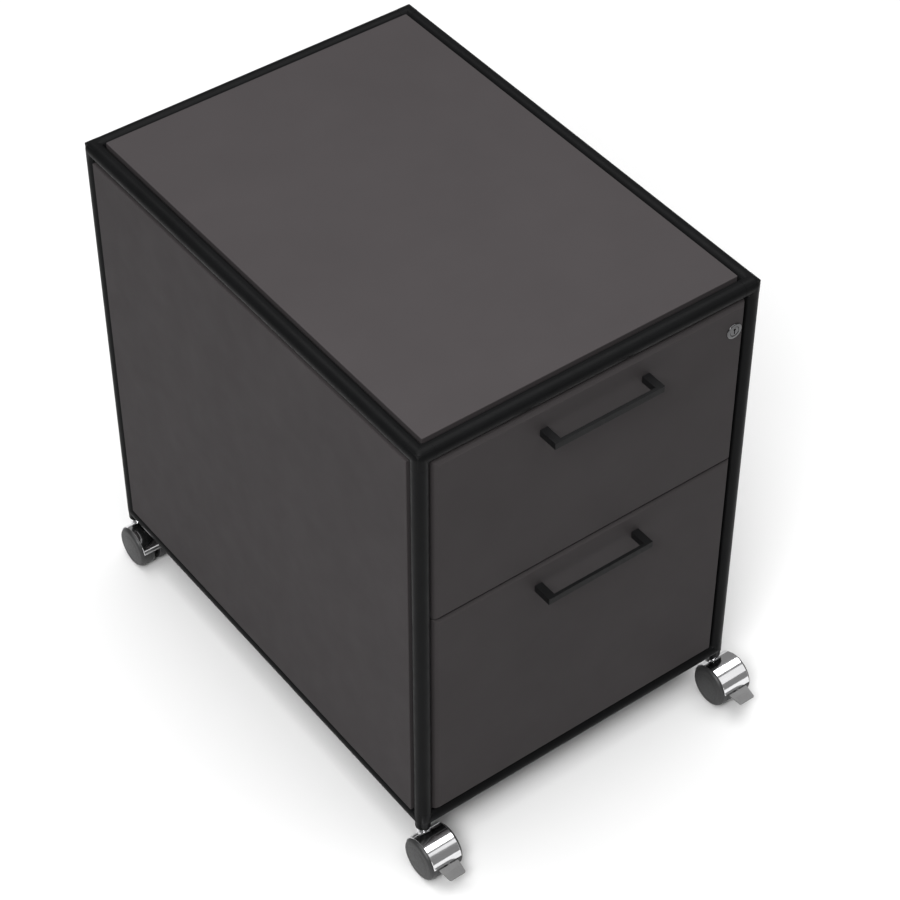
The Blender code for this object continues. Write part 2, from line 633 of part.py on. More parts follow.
def pedal(name, axle, parent):
    """The brake lever: an eye on the hood's pin, a narrow arm between the wheels and a wide plate."""
    pivot = axle + Vector((0, -PEDAL_PIVOT_FORWARD, PEDAL_PIVOT_ABOVE))
    root_y, tip_y = -PEDAL_ROOT, -PEDAL_REACH
    arm_x = PEDAL_ARM
    hinge = make_empty(name + "_hinge", pivot, parent)
    plate_low = axle + Vector((-PEDAL_WIDTH / 2, tip_y, PEDAL_ABOVE_AXLE))
    plate_high = axle + Vector((PEDAL_WIDTH / 2, root_y, PEDAL_ABOVE_AXLE + PEDAL_SHEET))
    obj = add_box(name, plate_low, plate_high, PARTS, PEDAL_GREY, hinge)
    arm = add_box(name + "_arm", axle + Vector((arm_x[0], root_y - PEDAL_ARM_LAP, PEDAL_ARM_LOW)),
                  axle + Vector((arm_x[1], -PEDAL_PIVOT_FORWARD - PEDAL_ARM_SHORT, PEDAL_ARM_HIGH)),
                  CUTTERS, parent=hinge)
    combine(obj, arm, "UNION")
    eye_low = pivot + Vector((arm_x[0] + HAIR, 0, 0))
    eye_high = pivot + Vector((arm_x[1] - HAIR, 0, 0))
    eye = add_cylinder(name + "_eye", PEDAL_EYE_RADIUS, eye_low, eye_high, "X", CUTTERS, parent=hinge,
                       steps=SMALL_STEPS)
    combine(obj, eye, "UNION")
    bore = add_cylinder(name + "_bore", PEDAL_PIN_RADIUS + GAP, pivot - Vector((CUT_BEYOND, 0, 0)),
                        pivot + Vector((CUT_BEYOND, 0, 0)), "X", CUTTERS, parent=hinge, steps=SMALL_STEPS)
    combine(obj, bore, "DIFFERENCE")
    hinge.rotation_euler = (PEDAL_DROOP, 0, 0)


def castors():
    for y_end, end in enumerate(ENDS):
        for x_side, side in enumerate(SIDES):
            castor(f"castor_{end}_{side}", AXES_X[x_side], AXES_Y[y_end], with_pedal=end == "front")


clear_scene()
PARTS = make_collection("rolling_pedestal_cabinet")
CUTTERS = make_collection("cutters")
BLACK = make_material("black_powder_coat", (0.015, 0.015, 0.016), 0.35, 0.0)
BOARD_PAINT = make_material("dark_grey_panel", (0.085, 0.078, 0.080), 0.55, 0.0)
FRONT_PAINT = make_material("dark_grey_front", (0.060, 0.056, 0.058), 0.55, 0.0)
TRAY_PAINT = make_material("tray_grey", (0.10, 0.10, 0.11), 0.5, 0.0)
HANDLE_BLACK = make_material("handle_black", (0.018, 0.018, 0.019), 0.4, 0.0)
ZINC = make_material("zinc_plate", (0.55, 0.56, 0.58), 0.35, 1.0)
CHROME = make_material("chrome", (0.80, 0.80, 0.81), 0.08, 1.0)
WHEEL_BLACK = make_material("wheel_black", (0.02, 0.02, 0.021), 0.5, 0.0)
PEDAL_GREY = make_material("pedal_grey", (0.12, 0.12, 0.12), 0.5, 0.0)
frame()
panels()
drawers()
castors()
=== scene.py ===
"""Rolling pedestal cabinet: the visible pieces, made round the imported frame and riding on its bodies.

All lengths are in metres. X is across the cabinet, the drawers open towards -Y, and Z is up.
"""

import json
import math

import bmesh
import bpy
from mathutils import Matrix, Vector

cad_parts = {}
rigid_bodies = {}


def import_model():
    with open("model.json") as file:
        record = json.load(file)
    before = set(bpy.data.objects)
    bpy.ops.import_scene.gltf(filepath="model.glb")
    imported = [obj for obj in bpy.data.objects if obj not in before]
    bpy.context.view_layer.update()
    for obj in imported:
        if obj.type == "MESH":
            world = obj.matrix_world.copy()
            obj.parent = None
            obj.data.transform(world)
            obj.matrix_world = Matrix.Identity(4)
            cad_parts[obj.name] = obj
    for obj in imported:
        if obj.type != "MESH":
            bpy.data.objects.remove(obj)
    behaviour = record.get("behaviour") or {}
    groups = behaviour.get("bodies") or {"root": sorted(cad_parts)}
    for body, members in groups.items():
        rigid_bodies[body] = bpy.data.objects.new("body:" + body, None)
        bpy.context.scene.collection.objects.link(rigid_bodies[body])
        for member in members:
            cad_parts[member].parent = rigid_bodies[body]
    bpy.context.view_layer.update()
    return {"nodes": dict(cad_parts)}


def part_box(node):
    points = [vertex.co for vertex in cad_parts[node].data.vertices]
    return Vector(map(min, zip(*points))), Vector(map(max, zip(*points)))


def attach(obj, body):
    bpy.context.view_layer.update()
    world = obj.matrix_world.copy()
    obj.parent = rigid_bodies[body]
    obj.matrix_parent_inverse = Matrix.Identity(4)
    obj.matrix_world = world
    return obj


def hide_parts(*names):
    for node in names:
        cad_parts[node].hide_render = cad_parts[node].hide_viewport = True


bl_info = {
    "name": "Rolling pedestal cabinet",
    "version": (1, 0, 0),
    "blender": (4, 5, 0),
    "location": "View3D > Sidebar > Cabinet",
    "description": "Makes the pieces of a rolling pedestal cabinet and the studio it stands in",
    "category": "Object",
}

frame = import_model()

SIDES = ("left", "right")
ENDS = ("front", "rear")
LEVELS = ("bottom", "top")
DRAWERS = ("lower", "upper")
MM = 0.001
RIM_ANGLE = math.radians(35)


def box_of(node):
    """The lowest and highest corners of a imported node, and its middle."""
    low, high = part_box(node)
    return low, high, (low + high) / 2


UPRIGHT_BOX = box_of("upright_front_left")
TUBE_RADIUS = (UPRIGHT_BOX[1].x - UPRIGHT_BOX[0].x) / 2
LOCK_CENTRE = box_of("lock_housing")[2]


# Sizes and colours that a user may change


class CabinetSizes(bpy.types.PropertyGroup):
    """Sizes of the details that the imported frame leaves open."""

    tube_wall: bpy.props.FloatProperty(
        name="Tube wall", description="Wall thickness of the frame tubes", default=1.5 * MM, unit="LENGTH"
    )
    tube_rim: bpy.props.FloatProperty(
        name="Tube rim", description="Rounding at the ends of the frame tubes",
        default=0.25 * MM, unit="LENGTH",
    )
    corner_ball: bpy.props.FloatProperty(
        name="Corner ball", description="Radius of the ball inside each corner",
        default=12.7 * MM, unit="LENGTH",
    )
    corner_shoulder: bpy.props.FloatProperty(
        name="Corner shoulder", description="How far the ball reaches past the tubes' axes",
        default=6.5 * MM, unit="LENGTH",
    )
    panel_edge: bpy.props.FloatProperty(
        name="Panel edge", description="Rounding of the panels' outer edges", default=0.9 * MM, unit="LENGTH"
    )
    panel_corner: bpy.props.FloatProperty(
        name="Panel corner", description="Cut at the panels' corners, clear of the corner balls",
        default=0.95 * MM, unit="LENGTH",
    )
    front_edge: bpy.props.FloatProperty(
        name="Front edge", description="Bevel round the drawer fronts' faces", default=3.1 * MM, unit="LENGTH"
    )
    front_lap: bpy.props.FloatProperty(
        name="Front lap", description="How far the fronts' sides slope out to the tubes", default=2.9 * MM,
        unit="LENGTH",
    )
    fronts_lap: bpy.props.FloatProperty(
        name="Fronts' lap", description="How far the fronts slope out to each other", default=1.2 * MM,
        unit="LENGTH",
    )
    front_lap_depth: bpy.props.FloatProperty(
        name="Lap depth", description="How far behind the face the slope ends",
        default=9.0 * MM, unit="LENGTH",
    )
    handle_edge: bpy.props.FloatProperty(
        name="Handle edge", description="Rounding of the bow handles' edges", default=0.5 * MM, unit="LENGTH"
    )
    handle_bar: bpy.props.FloatProperty(
        name="Handle bar", description="Thickness of the handles' bars", default=4.0 * MM, unit="LENGTH"
    )
    handle_leg: bpy.props.FloatProperty(
        name="Handle leg", description="Width of the handles' legs", default=9.5 * MM, unit="LENGTH"
    )
    sheet: bpy.props.FloatProperty(
        name="Sheet", description="Thickness of the trays' and slides' sheet steel",
        default=1.2 * MM, unit="LENGTH",
    )
    tray_hem: bpy.props.FloatProperty(
        name="Tray hem", description="Width of the folded rim on the drawer trays",
        default=4.5 * MM, unit="LENGTH",
    )
    wheel_shoulder: bpy.props.FloatProperty(
        name="Wheel shoulder", description="Rounding of the wheels' outer shoulders",
        default=4.2 * MM, unit="LENGTH",
    )
    hood_sheet: bpy.props.FloatProperty(
        name="Hood sheet", description="Thickness of the castors' chrome hoods",
        default=1.2 * MM, unit="LENGTH",
    )
    pedal_tip: bpy.props.FloatProperty(
        name="Pedal tip", description="Width of the brake pedals at the tip", default=21.0 * MM, unit="LENGTH"
    )


def colour(label, words, value):
    """A base colour that a user may change."""
    return bpy.props.FloatVectorProperty(
        name=label, description=words, subtype="COLOR", size=3, min=0.0, max=1.0, default=value
    )


class CabinetFinishes(bpy.types.PropertyGroup):
    """Base colours of the finishes."""

    tube_black: colour("Tube black", "Satin powder coat on tubes and corners", (0.0038, 0.0039, 0.0041))
    board_grey: colour("Board grey", "Matt lacquer on the panels", (0.0392, 0.0355, 0.0365))
    # Painted shade: the same lacquer as the boards, made about a tenth darker so the drawer fronts look
    # dimmer than the top and sides.
    front_grey: colour("Front grey", "Matt lacquer on the drawer fronts", (0.0352, 0.0320, 0.0327))
    handle_black: colour("Handle black", "Matt coat on the handles", (0.0060, 0.0060, 0.0063))
    lock_nickel: colour("Lock nickel", "Dark nickel plate on the lock", (0.10, 0.10, 0.102))
    tray_grey: colour("Tray grey", "Powder coat on the drawer trays", (0.13, 0.13, 0.135))
    zinc: colour("Zinc", "Zinc plate on slides, stems and the lock bar", (0.55, 0.56, 0.58))
    chrome: colour("Chrome", "Chrome plate on hoods and lock", (0.78, 0.78, 0.79))
    wheel_black: colour("Wheel black", "Moulded plastic of the wheels", (0.016, 0.016, 0.0165))
    pedal_grey: colour("Pedal grey", "Moulded plastic of the brake pedals", (0.118, 0.118, 0.118))
    floor_white: colour("Floor white", "Studio floor", (0.67, 0.67, 0.67))


# Materials


def node_of(tree, kind, **inputs):
    """A new shader node, with its inputs set by name."""
    made = tree.nodes.new(kind)
    for name, value in inputs.items():
        made.inputs[name.replace("_", " ")].default_value = value
    return made


def noise(tree, coordinates, scale, detail, stretch=(1, 1, 1)):
    """A noise pattern on object coordinates, stretched along an axis where grain or brushing runs."""
    mapping = tree.nodes.new("ShaderNodeMapping")
    mapping.inputs["Scale"].default_value = stretch
    tree.links.new(coordinates, mapping.inputs["Vector"])
    made = node_of(tree, "ShaderNodeTexNoise", Scale=scale, Detail=detail, Roughness=0.55)
    tree.links.new(mapping.outputs["Vector"], made.inputs["Vector"])
    return made.outputs["Fac"]


def ranged(tree, value, low, high):
    """Brings a noise value into a range of its own."""
    made = tree.nodes.new("ShaderNodeMapRange")
    made.inputs["From Min"].default_value = 0.3
    made.inputs["From Max"].default_value = 0.7
    made.inputs["To Min"].default_value = low
    made.inputs["To Max"].default_value = high
    tree.links.new(value, made.inputs["Value"])
    return made.outputs["Result"]


def finish_material(name, base, spread, cloud_scale, gloss, grain_scale, grain_height, metallic=0.0,
                    stretch=(1, 1, 1), specular=0.5, fine_scale=0.0):
    """A procedural finish: clouded base colour, uneven gloss, and a grain in relief."""
    material = bpy.data.materials.new(name)
    material.use_nodes = True
    material.diffuse_color = (*base, 1)
    tree = material.node_tree
    shader = tree.nodes["Principled BSDF"]
    shader.inputs["Metallic"].default_value = metallic
    shader.inputs["Specular IOR Level"].default_value = specular
    place = tree.nodes.new("ShaderNodeTexCoord").outputs["Object"]
    cloud = noise(tree, place, cloud_scale, 4.0, stretch)
    ramp = tree.nodes.new("ShaderNodeValToRGB")
    ramp.color_ramp.elements[0].position = 0.32
    ramp.color_ramp.elements[0].color = (*[c * (1 - spread) for c in base], 1)
    ramp.color_ramp.elements[1].position = 0.68
    ramp.color_ramp.elements[1].color = (*[min(c * (1 + spread), 1) for c in base], 1)
    tree.links.new(cloud, ramp.inputs["Fac"])
    tint = ramp.outputs["Color"]
    if fine_scale:
        speck = ranged(tree, noise(tree, place, fine_scale, 2.0), 1 - 0.6 * spread, 1 + 0.6 * spread)
        mix = tree.nodes.new("ShaderNodeMix")
        mix.data_type = "RGBA"
        mix.blend_type = "MULTIPLY"
        mix.inputs["Factor"].default_value = 1.0
        tree.links.new(tint, mix.inputs["A"])
        tree.links.new(speck, mix.inputs["B"])
        tint = mix.outputs["Result"]
    tree.links.new(tint, shader.inputs["Base Color"])
    tree.links.new(ranged(tree, noise(tree, place, cloud_scale * 3.1, 5.0, stretch), *gloss),
                   shader.inputs["Roughness"])
    bump = tree.nodes.new("ShaderNodeBump")
    bump.inputs["Strength"].default_value = 1.0
    bump.inputs["Distance"].default_value = grain_height
    tree.links.new(noise(tree, place, grain_scale, 3.0, stretch), bump.inputs["Height"])
    tree.links.new(bump.outputs["Normal"], shader.inputs["Normal"])
    return material


# What each finish is made of. base names a colour in CabinetFinishes, and the scales count cells in a metre.
FINISHES = {
    "tube": dict(base="tube_black", spread=0.10, cloud_scale=30, gloss=(0.34, 0.44), grain_scale=1400,
                 grain_height=0.006 * MM, specular=0.045, fine_scale=1700),
    "board": dict(base="board_grey", spread=0.035, cloud_scale=9, gloss=(0.50, 0.60), grain_scale=1900,
                  grain_height=0.010 * MM, specular=0.03, fine_scale=1100),
    # The fronts' base is the board lacquer darkened a little, as painted shade.
    "front": dict(base="front_grey", spread=0.035, cloud_scale=9, gloss=(0.48, 0.58), grain_scale=1900,
                  grain_height=0.010 * MM, specular=0.03, fine_scale=1100),
    "handle": dict(base="handle_black", spread=0.10, cloud_scale=60, gloss=(0.38, 0.50), grain_scale=1800,
                   grain_height=0.006 * MM, specular=0.07, fine_scale=1500),
    "tray": dict(base="tray_grey", spread=0.05, cloud_scale=14, gloss=(0.42, 0.54), grain_scale=1500,
                 grain_height=0.012 * MM, fine_scale=1200),
    "zinc": dict(base="zinc", spread=0.10, cloud_scale=120, gloss=(0.26, 0.42), grain_scale=900,
                 grain_height=0.008 * MM, metallic=1.0, stretch=(6, 0.6, 6), fine_scale=700),
    "chrome": dict(base="chrome", spread=0.03, cloud_scale=90, gloss=(0.06, 0.13), grain_scale=420,
                   grain_height=0.004 * MM, metallic=1.0, stretch=(0.5, 3, 3)),
    "lock": dict(base="lock_nickel", spread=0.04, cloud_scale=200, gloss=(0.14, 0.22), grain_scale=900,
                 grain_height=0.002 * MM, metallic=1.0),
    "wheel": dict(base="wheel_black", spread=0.12, cloud_scale=160, gloss=(0.42, 0.56), grain_scale=2600,
                  grain_height=0.020 * MM, fine_scale=2000),
    "pedal": dict(base="pedal_grey", spread=0.05, cloud_scale=140, gloss=(0.46, 0.58), grain_scale=2600,
                  grain_height=0.018 * MM, fine_scale=2000),
    "floor": dict(base="floor_white", spread=0.006, cloud_scale=2.5, gloss=(0.55, 0.62), grain_scale=30,
                  grain_height=0.02 * MM, specular=0.2),
}


def material_of(kind):
    """The finish of that kind, made the first time it is asked for."""
    name = "finish_" + kind
    found = bpy.data.materials.get(name)
    if found:
        return found
    look = dict(FINISHES[kind])
    base = getattr(bpy.context.scene.cabinet_finishes, look.pop("base"))
    return finish_material(name, base, **look)


# Shapes


def block(low, high, edge=0.0, segments=3):
    """A box between two corners, with all its edges rounded."""
    low, high = Vector(low), Vector(high)
    bm = bmesh.new()
    bmesh.ops.create_cube(bm, size=1)
    bmesh.ops.scale(bm, vec=high - low, verts=bm.verts)
    bmesh.ops.translate(bm, vec=(low + high) / 2, verts=bm.verts)
    if edge:
        round_edges(bm, bm.edges[:], edge, segments)
    return bm


def round_edges(bm, edges, offset, segments=3, profile=0.5):
    """Rounds some of a shape's edges."""
    bmesh.ops.bevel(bm, geom=edges, offset=offset, offset_type="OFFSET", segments=segments, profile=profile,
                    affect="EDGES", material=-1, clamp_overlap=True)


def rod(radius, length, segments=64, edge=0.0):
    """A solid round bar along Z, with rounded ends."""
    bm = bmesh.new()
    bmesh.ops.create_cone(bm, cap_ends=True, segments=segments, radius1=radius, radius2=radius, depth=length)
    if edge:
        rims = [e for e in bm.edges if e.calc_face_angle(0) > RIM_ANGLE]
        round_edges(bm, rims, edge, 2)
    return bm


def pipe(radius, wall, length, edge, segments=72):
    """A hollow round tube along Z, with rounded rims."""
    bm = bmesh.new()
    bmesh.ops.create_cone(bm, cap_ends=False, segments=segments, radius1=radius, radius2=radius, depth=length)
    bmesh.ops.recalc_face_normals(bm, faces=bm.faces)
    if bm.faces[:][0].normal.dot(bm.faces[:][0].calc_center_median().xy.to_3d()) < 0:
        bmesh.ops.reverse_faces(bm, faces=bm.faces)
    bmesh.ops.solidify(bm, geom=bm.faces, thickness=wall)
    rims = [e for e in bm.edges if e.calc_face_angle(0) > RIM_ANGLE]
    round_edges(bm, rims, edge, 2)
    return bm


def turned(profile, steps=64, closed=False):
    """A profile of (radius, height) points, turned about Z. A closed one has a hole along its axis."""
    bm = bmesh.new()
    verts = [bm.verts.new((radius, 0, height)) for radius, height in profile]
    pairs = list(zip(verts, verts[1:]))
    if closed:
        pairs.append((verts[-1], verts[0]))
    edges = [bm.edges.new(pair) for pair in pairs]
    bmesh.ops.spin(bm, geom=verts + edges, cent=(0, 0, 0), axis=(0, 0, 1), angle=2 * math.pi, steps=steps,
                   use_merge=True, use_duplicate=False)
    bmesh.ops.remove_doubles(bm, verts=bm.verts, dist=0.001 * MM)
    bmesh.ops.recalc_face_normals(bm, faces=bm.faces)
    return bm


def verts_in(geom):
    """The vertices among what an operator gave back."""
    return [v for v in geom if isinstance(v, bmesh.types.BMVert)]


def plate(outline, thickness, edge=0.0, segments=2):
    """A flat outline in X and Y, pushed up to its thickness, with its edges rounded."""
    bm = bmesh.new()
    face = bm.faces.new([bm.verts.new((x, y, 0)) for x, y in outline])
    pushed = bmesh.ops.extrude_face_region(bm, geom=[face])["geom"]
    bmesh.ops.translate(bm, vec=(0, 0, thickness), verts=verts_in(pushed))
    bmesh.ops.recalc_face_normals(bm, faces=bm.faces)
    if edge:
        round_edges(bm, bm.edges[:], edge, segments)
    return bm


TURNS = {
    "X": Matrix.Rotation(math.pi / 2, 3, "Y"),
    "-X": Matrix.Rotation(-math.pi / 2, 3, "Y"),
    "Y": Matrix.Rotation(-math.pi / 2, 3, "X"),
    "-Y": Matrix.Rotation(math.pi / 2, 3, "X"),
    "Z": Matrix.Identity(3),
    "-Z": Matrix.Rotation(math.pi, 3, "X"),
}


def lay(bm, axis, centre):
    """Turns a shape made along Z to an axis, and moves it to its place."""
    bmesh.ops.rotate(bm, cent=(0, 0, 0), matrix=TURNS[axis], verts=bm.verts)
    bmesh.ops.translate(bm, vec=Vector(centre), verts=bm.verts)
    return bm


def joined(first, others):
    """Several closed shapes in one mesh, side by side."""
    for other in others:
        spare = bpy.data.meshes.new("spare")
        other.to_mesh(spare)
        other.free()
        first.from_mesh(spare)
        bpy.data.meshes.remove(spare)
    return first


def helper(bm, name):
    """A passing object that holds a shape while a Boolean is worked out."""
    mesh = bpy.data.meshes.new(name)
    bm.to_mesh(mesh)
    bm.free()
    obj = bpy.data.objects.new(name, mesh)
    bpy.context.scene.collection.objects.link(obj)
    return obj


def combined(first, tools):
    """A shape with others joined to it or cut from it, as one closed shape.

    tools holds (shape, operation) pairs.
    """
    base = helper(first, "base")
    helpers = [base]
    for index, (shape, operation) in enumerate(tools):
        tool = helper(shape, f"tool_{index}")
        helpers.append(tool)
        modifier = base.modifiers.new(tool.name, "BOOLEAN")
        modifier.operation = operation
        modifier.solver = "EXACT"
        modifier.object = tool
    result = base.evaluated_get(bpy.context.evaluated_depsgraph_get()).to_mesh()
    bm = bmesh.new()
    bm.from_mesh(result)
    for obj in helpers:
        mesh = obj.data
        bpy.data.objects.remove(obj)
        bpy.data.meshes.remove(mesh)
    bmesh.ops.remove_doubles(bm, verts=bm.verts, dist=0.001 * MM)
    bmesh.ops.dissolve_degenerate(bm, edges=bm.edges, dist=0.0005 * MM)
    return bm


def make_piece(bm, name, body, kind, nodes=(), sharp=RIM_ANGLE):
    """Turns a shape into a named piece that rides on a body, in one finish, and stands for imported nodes."""
    mesh = bpy.data.meshes.new(name)
    bm.to_mesh(mesh)
    bm.free()
    mesh.shade_smooth()
    mesh.set_sharp_from_angle(angle=sharp)
    mesh.materials.append(material_of(kind))
    obj = bpy.data.objects.new(name, mesh)
    bpy.context.scene.collection.objects.link(obj)
    normals = obj.modifiers.new("even_shading", "WEIGHTED_NORMAL")
    normals.keep_sharp = True
    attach(obj, body)
    if nodes:
        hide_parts(*nodes)
    return obj


# The frame


SEAM = 0.1 * MM
SPIGOT_LENGTH = 30 * MM
SPIGOT_PLAY = 0.2 * MM
CORNER_BOSS_DROP = 3.0 * MM
STEM_BORE_RADIUS = 4.4 * MM


def tube_piece(node, sizes):
    """One frame tube, run up to the corners with a hair's gap left as the seam."""
    low, high, middle = box_of(node)
    size = high - low
    axis = "XYZ"[max(range(3), key=lambda i: size[i])]
    radius = min(size) / 2
    length = max(size) + 2 * (0.3 * MM - SEAM)
    bm = lay(pipe(radius, sizes.tube_wall, length, sizes.tube_rim), axis, middle)
    make_piece(bm, node + "_tube", "cabinet", "tube", [node])


def corner_piece(level, end, side, sizes):
    """One cast corner: round outside, a ball in its inner angles, and a stub and a spigot to each tube."""
    upright = box_of(f"upright_{end}_{side}")[2]
    rail = box_of(f"rail_{level}_{side}")[2]
    centre = Vector((upright.x, upright.y, rail.z))
    inward = Vector((1 if side == "left" else -1, 1 if end == "front" else -1,
                     1 if level == "bottom" else -1))
    gap_start = box_of(f"upright_{end}_{side}")[0 if level == "bottom" else 1].z
    stub_end = abs(gap_start - centre.z) - 0.3 * MM
    ball = bmesh.new()
    bmesh.ops.create_uvsphere(ball, u_segments=64, v_segments=32, radius=sizes.corner_ball)
    for index in range(3):
        normal = Vector([inward[i] if i == index else 0 for i in range(3)])
        geom = ball.verts[:] + ball.edges[:] + ball.faces[:]
        cut = bmesh.ops.bisect_plane(ball, geom=geom, plane_co=-normal * sizes.corner_shoulder,
                                     plane_no=-normal, clear_outer=True)
        open_edges = [e for e in cut["geom_cut"] if isinstance(e, bmesh.types.BMEdge)]
        bmesh.ops.holes_fill(ball, edges=open_edges)
    bmesh.ops.recalc_face_normals(ball, faces=ball.faces)
    tip = bmesh.new()
    bmesh.ops.create_uvsphere(tip, u_segments=64, v_segments=32, radius=TUBE_RADIUS - 0.02 * MM)
    tools = [(tip, "UNION")]
    for index, axis in enumerate("XYZ"):
        step = Vector([inward[i] if i == index else 0 for i in range(3)])
        stub = rod(TUBE_RADIUS - 0.01 * MM * (index + 1) / 3, stub_end, 64)
        tools.append((lay(stub, axis, step * (stub_end / 2 - 0.01 * MM)), "UNION"))
        spigot = rod(TUBE_RADIUS - sizes.tube_wall - SPIGOT_PLAY, SPIGOT_LENGTH, 48, 0.8 * MM)
        tools.append((lay(spigot, axis, step * 15.5 * MM), "UNION"))
    if level == "bottom":
        boss = rod(TUBE_RADIUS - 0.4 * MM, TUBE_RADIUS + CORNER_BOSS_DROP, 64, 0.5 * MM)
        tools.append((lay(boss, "Z", (0, 0, -(TUBE_RADIUS + CORNER_BOSS_DROP) / 2 - 0.1 * MM)),
                      "UNION"))
        bore = rod(STEM_BORE_RADIUS, 26 * MM, 32)
        tools.append((lay(bore, "Z", (0, 0, -TUBE_RADIUS - CORNER_BOSS_DROP + 12.5 * MM)), "DIFFERENCE"))
    bm = combined(ball, tools)
    bmesh.ops.translate(bm, vec=centre, verts=bm.verts)
    name = f"corner_{level}_{end}_{side}"
    make_piece(bm, name + "_casting", "cabinet", "tube", [name], sharp=math.radians(28))


# Boards


def board_piece(node, body, kind, outward, edge, corner, name, hole=None):
    """A board: its outer edges rounded, its inner ones only broken, and its four corners cut if asked."""
    low, high, _ = box_of(node)
    bm = block(low, high)
    outward = Vector(outward)
    along = [e for e in bm.edges if abs((e.verts[0].co - e.verts[1].co).normalized().dot(outward)) > 0.9]
    if corner:
        round_edges(bm, along, corner, 3, 0.25)
    outer = [f for f in bm.faces if f.normal.dot(outward) > 0.9][0]
    round_edges(bm, outer.edges[:], edge, 5)
    inner = [f for f in bm.faces if f.normal.dot(outward) < -0.9][0]
    round_edges(bm, inner.edges[:], 0.4 * MM, 2)
    if hole:
        bm = combined(bm, [(hole, "DIFFERENCE")])
    return make_piece(bm, name, body, kind, [node], sharp=math.radians(50))


PANELS = {
    "top_panel": (0, 0, 1),
    "bottom_panel": (0, 0, -1),
    "left_panel": (-1, 0, 0),
    "right_panel": (1, 0, 0),
    "rear_panel": (0, 1, 0),
}


def drawn_in(bm, face, depth, sides, below, above):
    """Pushes a front board's face forward by a depth, and draws its edges in by as much as each is given."""
    pushed = bmesh.ops.extrude_face_region(bm, geom=[face])["geom"]
    verts = verts_in(pushed)
    middle_x = sum(v.co.x for v in verts) / len(verts)
    middle_z = sum(v.co.z for v in verts) / len(verts)
    bmesh.ops.delete(bm, geom=[face], context="FACES_ONLY")
    for vert in verts:
        vert.co.y -= depth
        vert.co.x += sides if vert.co.x < middle_x else -sides
        vert.co.z += below if vert.co.z < middle_z else -above
    return [f for f in pushed if isinstance(f, bmesh.types.BMFace)][0]


def front_piece(drawer, sizes):
    """A front board: a rounded bevel round its face, and behind it sides that slope out to the tubes."""
    node = f"{drawer}_front"
    low, high, middle = box_of(node)
    bm = block((low.x, low.y + sizes.front_lap_depth, low.z), high)
    face = [f for f in bm.faces if f.normal.y < -0.9][0]
    below, above = sizes.front_lap, sizes.fronts_lap
    if drawer == "upper":
        below, above = above, below
    edge = sizes.front_edge
    face = drawn_in(bm, face, sizes.front_lap_depth - edge, sizes.front_lap, below, above)
    face = drawn_in(bm, face, edge, edge, edge, edge)
    bmesh.ops.recalc_face_normals(bm, faces=bm.faces)
    creases = [e for e in bm.edges if e.calc_face_angle(0) > math.radians(8)]
    round_edges(bm, creases, 0.55 * MM, 3)
    if drawer == "upper":
        hole = lay(rod(LOCK_HOLE_RADIUS, 60 * MM, 64), "Y", (LOCK_CENTRE.x, middle.y, LOCK_CENTRE.z))
        bm = combined(bm, [(hole, "DIFFERENCE")])
    make_piece(bm, node + "_board", f"{drawer}_drawer", "front", [node], sharp=math.radians(50))


def handle_piece(drawer, sizes):
    """A flat bow handle from one outline, its legs running a little into the front board."""
    node = f"{drawer}_handle"
    low, high, _ = box_of(node)
    half = high.x
    inner = half - sizes.handle_leg
    bar = low.y + sizes.handle_bar
    back = high.y + 0.2 * MM
    outline = [(-half, back), (-half, low.y), (half, low.y), (half, back),
               (inner, back), (inner, bar), (-inner, bar), (-inner, back)]
    bm = plate(outline, high.z - low.z, sizes.handle_edge, 3)
    bmesh.ops.translate(bm, vec=(0, 0, low.z), verts=bm.verts)
    make_piece(bm, node + "_bow", f"{drawer}_drawer", "handle", [node], sharp=math.radians(50))


# The lock


LOCK_HOLE_RADIUS = 8.3 * MM
LOCK_BARREL_RADIUS = 8.0 * MM
LOCK_BORE_RADIUS = 5.65 * MM
CAM_THICKNESS = 1.8 * MM


